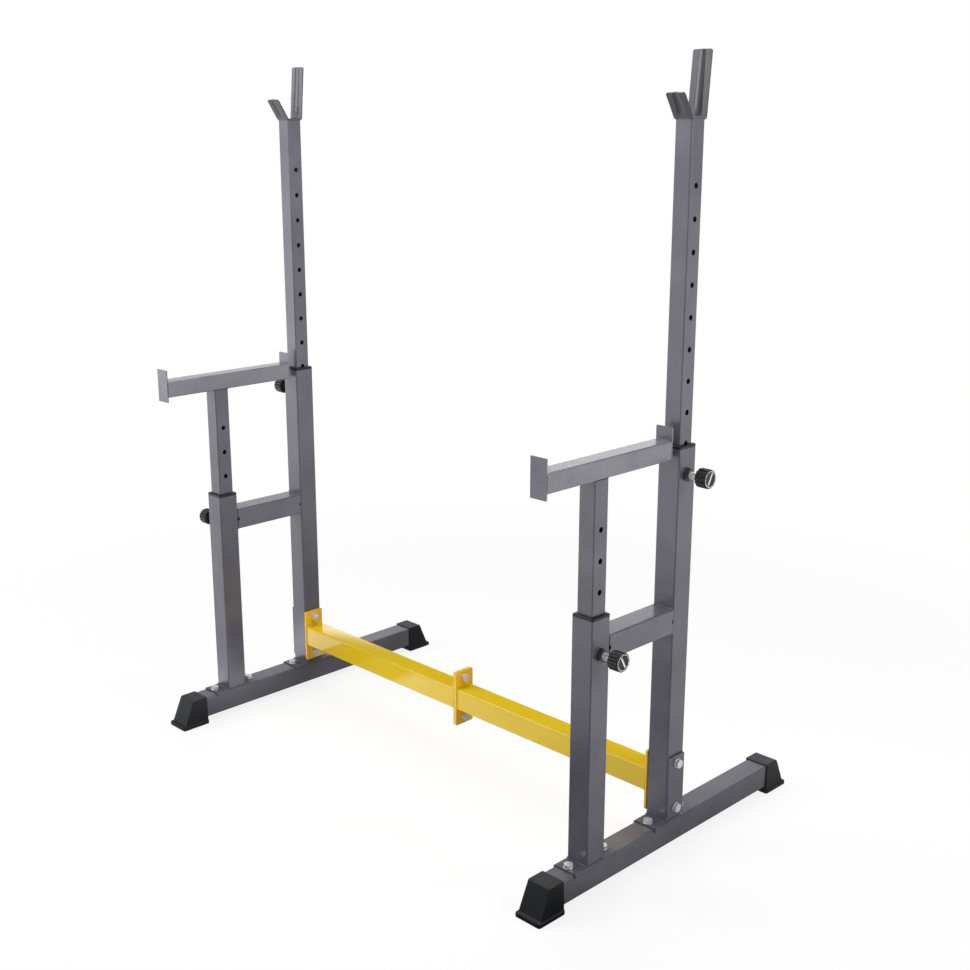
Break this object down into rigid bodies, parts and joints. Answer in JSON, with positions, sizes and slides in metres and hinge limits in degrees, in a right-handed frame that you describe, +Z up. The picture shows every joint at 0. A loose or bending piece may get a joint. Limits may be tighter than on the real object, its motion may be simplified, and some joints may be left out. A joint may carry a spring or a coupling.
{
  "type": "squat stand",
  "caption": "Free-standing squat stand: telescoping steel masts with V-shaped bar cups, height-adjustable spotter arms, pull-pin locks and a bolted yellow crossbar.",
  "frame": {"origin": "on the floor, midway between the two masts, at the centre of the bounding box of the base", "axes": "+X from the left stand to the right stand along the crossbar, -Y towards the lifter and the spotter arms, +Z up along the masts"},
  "size_m": [1.3468, 0.82, 1.5766],
  "materials": {
    "grey_powder_coat": "grey metallic powder coat, satin",
    "yellow_enamel": "yellow enamel, glossy",
    "black_plastic": "black moulded plastic, matte",
    "black_rubber": "black moulded rubber, matte",
    "zinc_plate": "bright zinc plate"
  },
  "bodies": {
    "frame": {"left_base_beam": "grey_powder_coat", "left_front_foot": "black_rubber", "left_rear_foot": "black_rubber", "left_brace": "grey_powder_coat", "left_backing_plate": "grey_powder_coat", "left_rear_saddle": "grey_powder_coat", "left_rear_upright": "grey_powder_coat", "left_rear_collar": "black_plastic", "left_rear_pin_barrel": "zinc_plate", "left_rear_saddle_bolt_ahead": "zinc_plate", "left_rear_saddle_bolt_behind": "zinc_plate", "left_front_saddle": "grey_powder_coat", "left_front_upright": "grey_powder_coat", "left_front_collar": "black_plastic", "left_front_pin_barrel": "zinc_plate", "left_front_saddle_bolt_ahead": "zinc_plate", "left_front_saddle_bolt_behind": "zinc_plate", "left_lower_end_bolt": "zinc_plate", "left_upper_end_bolt": "zinc_plate", "left_crossbar": "yellow_enamel", "right_base_beam": "grey_powder_coat", "right_front_foot": "black_rubber", "right_rear_foot": "black_rubber", "right_brace": "grey_powder_coat", "right_backing_plate": "grey_powder_coat", "right_rear_saddle": "grey_powder_coat", "right_rear_upright": "grey_powder_coat", "right_rear_collar": "black_plastic", "right_rear_pin_barrel": "zinc_plate", "right_rear_saddle_bolt_ahead": "zinc_plate", "right_rear_saddle_bolt_behind": "zinc_plate", "right_front_saddle": "grey_powder_coat", "right_front_upright": "grey_powder_coat", "right_front_collar": "black_plastic", "right_front_pin_barrel": "zinc_plate", "right_front_saddle_bolt_ahead": "zinc_plate", "right_front_saddle_bolt_behind": "zinc_plate", "right_lower_end_bolt": "zinc_plate", "right_upper_end_bolt": "zinc_plate", "right_crossbar": "yellow_enamel", "lower_middle_bolt": "zinc_plate", "upper_middle_bolt": "zinc_plate"},
    "left_mast": {"left_mast": "grey_powder_coat", "left_bar_cup": "grey_powder_coat"},
    "left_arm": {"left_arm_post": "grey_powder_coat", "left_spotter_arm": "grey_powder_coat"},
    "left_rear_pin": {"left_rear_lock_pin": "zinc_plate"},
    "left_rear_knob": {"left_rear_knob": "black_plastic"},
    "left_front_pin": {"left_front_lock_pin": "zinc_plate"},
    "left_front_knob": {"left_front_knob": "black_plastic"},
    "right_mast": {"right_mast": "grey_powder_coat", "right_bar_cup": "grey_powder_coat"},
    "right_arm": {"right_arm_post": "grey_powder_coat", "right_spotter_arm": "grey_powder_coat"},
    "right_rear_pin": {"right_rear_lock_pin": "zinc_plate"},
    "right_rear_knob": {"right_rear_knob": "black_plastic"},
    "right_front_pin": {"right_front_lock_pin": "zinc_plate"},
    "right_front_knob": {"right_front_knob": "black_plastic"}
  },
  "joints": [
    {"name": "left_mast_slide", "type": "slide", "parent": "frame", "child": "left_mast", "axis": [0, 0, 1], "range_m": [-0.54, 0]},
    {"name": "left_arm_slide", "type": "slide", "parent": "frame", "child": "left_arm", "axis": [0, 0, 1], "range_m": [-0.24, 0.12]},
    {"name": "left_rear_pin_slide", "type": "slide", "parent": "frame", "child": "left_rear_pin", "axis": [1, 0, 0], "range_m": [0, 0.012]},
    {"name": "left_rear_knob_turn", "type": "hinge", "parent": "left_rear_pin", "child": "left_rear_knob", "pos_m": [-0.654, 0, 0.798], "axis": [-1, 0, 0], "continuous": true},
    {"name": "left_front_pin_slide", "type": "slide", "parent": "frame", "child": "left_front_pin", "axis": [1, 0, 0], "range_m": [0, 0.012]},
    {"name": "left_front_knob_turn", "type": "hinge", "parent": "left_front_pin", "child": "left_front_knob", "pos_m": [-0.654, -0.244, 0.498], "axis": [-1, 0, 0], "continuous": true},
    {"name": "right_mast_slide", "type": "slide", "parent": "frame", "child": "right_mast", "axis": [0, 0, 1], "range_m": [-0.54, 0]},
    {"name": "right_arm_slide", "type": "slide", "parent": "frame", "child": "right_arm", "axis": [0, 0, 1], "range_m": [-0.24, 0.12]},
    {"name": "right_rear_pin_slide", "type": "slide", "parent": "frame", "child": "right_rear_pin", "axis": [-1, 0, 0], "range_m": [0, 0.012]},
    {"name": "right_rear_knob_turn", "type": "hinge", "parent": "right_rear_pin", "child": "right_rear_knob", "pos_m": [0.654, 0, 0.798], "axis": [1, 0, 0], "continuous": true},
    {"name": "right_front_pin_slide", "type": "slide", "parent": "frame", "child": "right_front_pin", "axis": [-1, 0, 0], "range_m": [0, 0.012]},
    {"name": "right_front_knob_turn", "type": "hinge", "parent": "right_front_pin", "child": "right_front_knob", "pos_m": [0.654, -0.244, 0.498], "axis": [1, 0, 0], "continuous": true}
  ]
}
